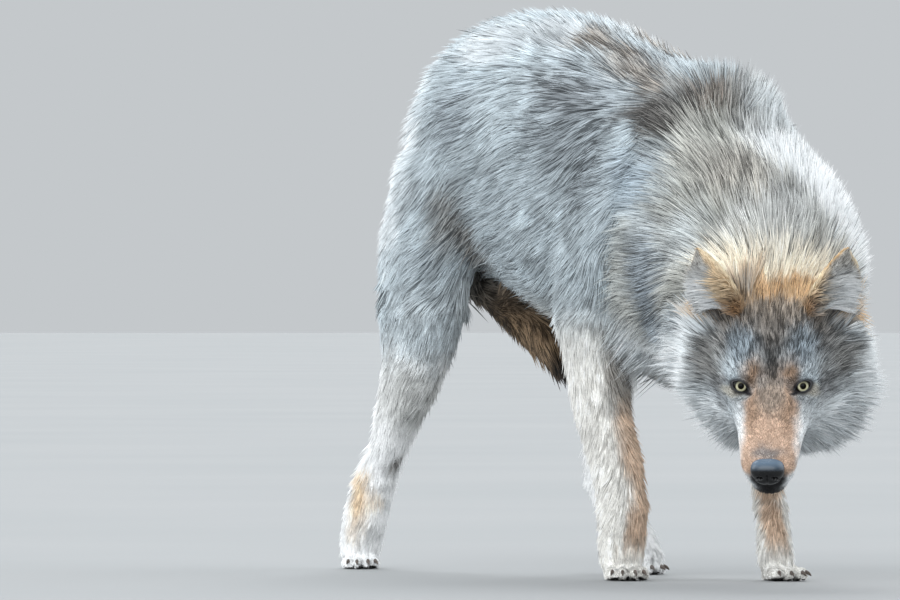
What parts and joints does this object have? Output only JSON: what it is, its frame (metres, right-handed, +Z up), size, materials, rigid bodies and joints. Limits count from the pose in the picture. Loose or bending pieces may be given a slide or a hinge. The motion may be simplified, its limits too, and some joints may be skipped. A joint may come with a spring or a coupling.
{
  "type": "grey wolf",
  "caption": "Life-size grey wolf standing warily: arched back, lowered head turned to its right, striding legs and a tucked tail. A still animal figure.",
  "frame": {"origin": "on the floor under the middle of the whole wolf's box", "axes": "-Y the way the wolf walks, +X to its left, +Z up"},
  "size_m": [0.3922, 1.153, 0.7746],
  "materials": {
    "coat_body": "dense matt fur, grey guard hairs over paler underfur",
    "coat_mane": "long matt fur, pale grey to cream",
    "coat_face": "short matt fur, grizzled grey-brown with white cheeks",
    "coat_legs": "short matt fur, cream with a tan streak",
    "nose_leather": "moist pebbled skin, satin",
    "eye_wet": "wet gloss, pale amber iris with a round black pupil",
    "claw_horn": "dull dark horn"
  },
  "bodies": {
    "root": {"claw_fore_left_1": "claw_horn", "claw_fore_left_2": "claw_horn", "claw_fore_left_3": "claw_horn", "claw_fore_left_4": "claw_horn", "claw_fore_right_1": "claw_horn", "claw_fore_right_2": "claw_horn", "claw_fore_right_3": "claw_horn", "claw_fore_right_4": "claw_horn", "claw_hind_left_1": "claw_horn", "claw_hind_left_2": "claw_horn", "claw_hind_left_3": "claw_horn", "claw_hind_left_4": "claw_horn", "claw_hind_right_1": "claw_horn", "claw_hind_right_2": "claw_horn", "claw_hind_right_3": "claw_horn", "claw_hind_right_4": "claw_horn", "ear_left": "coat_face", "ear_right": "coat_face", "eye_left": "eye_wet", "eye_right": "eye_wet", "foot_hind_left": "coat_legs", "foot_hind_right": "coat_legs", "forearm_fore_left": "coat_legs", "forearm_fore_right": "coat_legs", "head": "coat_face", "lower_jaw": "coat_face", "neck": "coat_mane", "nose": "nose_leather", "paw_fore_left": "coat_legs", "paw_fore_right": "coat_legs", "shin_hind_left": "coat_legs", "shin_hind_right": "coat_legs", "tail": "coat_body", "thigh_hind_left": "coat_body", "thigh_hind_right": "coat_body", "trunk": "coat_body", "upper_arm_fore_left": "coat_body", "upper_arm_fore_right": "coat_body"}
  },
  "joints": []
}
